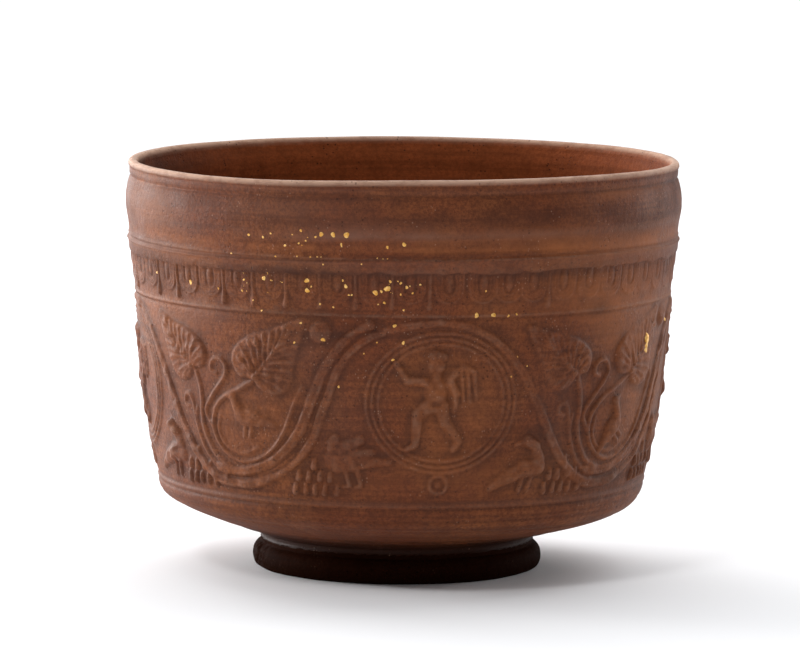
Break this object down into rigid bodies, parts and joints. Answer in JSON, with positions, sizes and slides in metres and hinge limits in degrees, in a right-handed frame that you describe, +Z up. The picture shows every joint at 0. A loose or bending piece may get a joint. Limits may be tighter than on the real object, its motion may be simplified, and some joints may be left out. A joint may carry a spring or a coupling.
{
  "type": "terra sigillata bowl",
  "caption": "Mould-made red-gloss clay bowl with a plain rolled rim, an egg-and-tongue border, a vine scroll with medallions in relief, and a turned foot ring",
  "frame": {"origin": "centre of the foot ring's standing plane", "axes": "+Z is up through the mouth, and -Y faces the front, where one medallion of the scroll is centred"},
  "size_m": [0.2016, 0.2016, 0.1488],
  "materials": {
    "slipped_clay": "fired clay with a worn, dull red-brown slip",
    "gold_spatter": "small dull gold drops on the slip"
  },
  "bodies": {
    "root": {"bowl": "slipped_clay"}
  },
  "joints": []
}
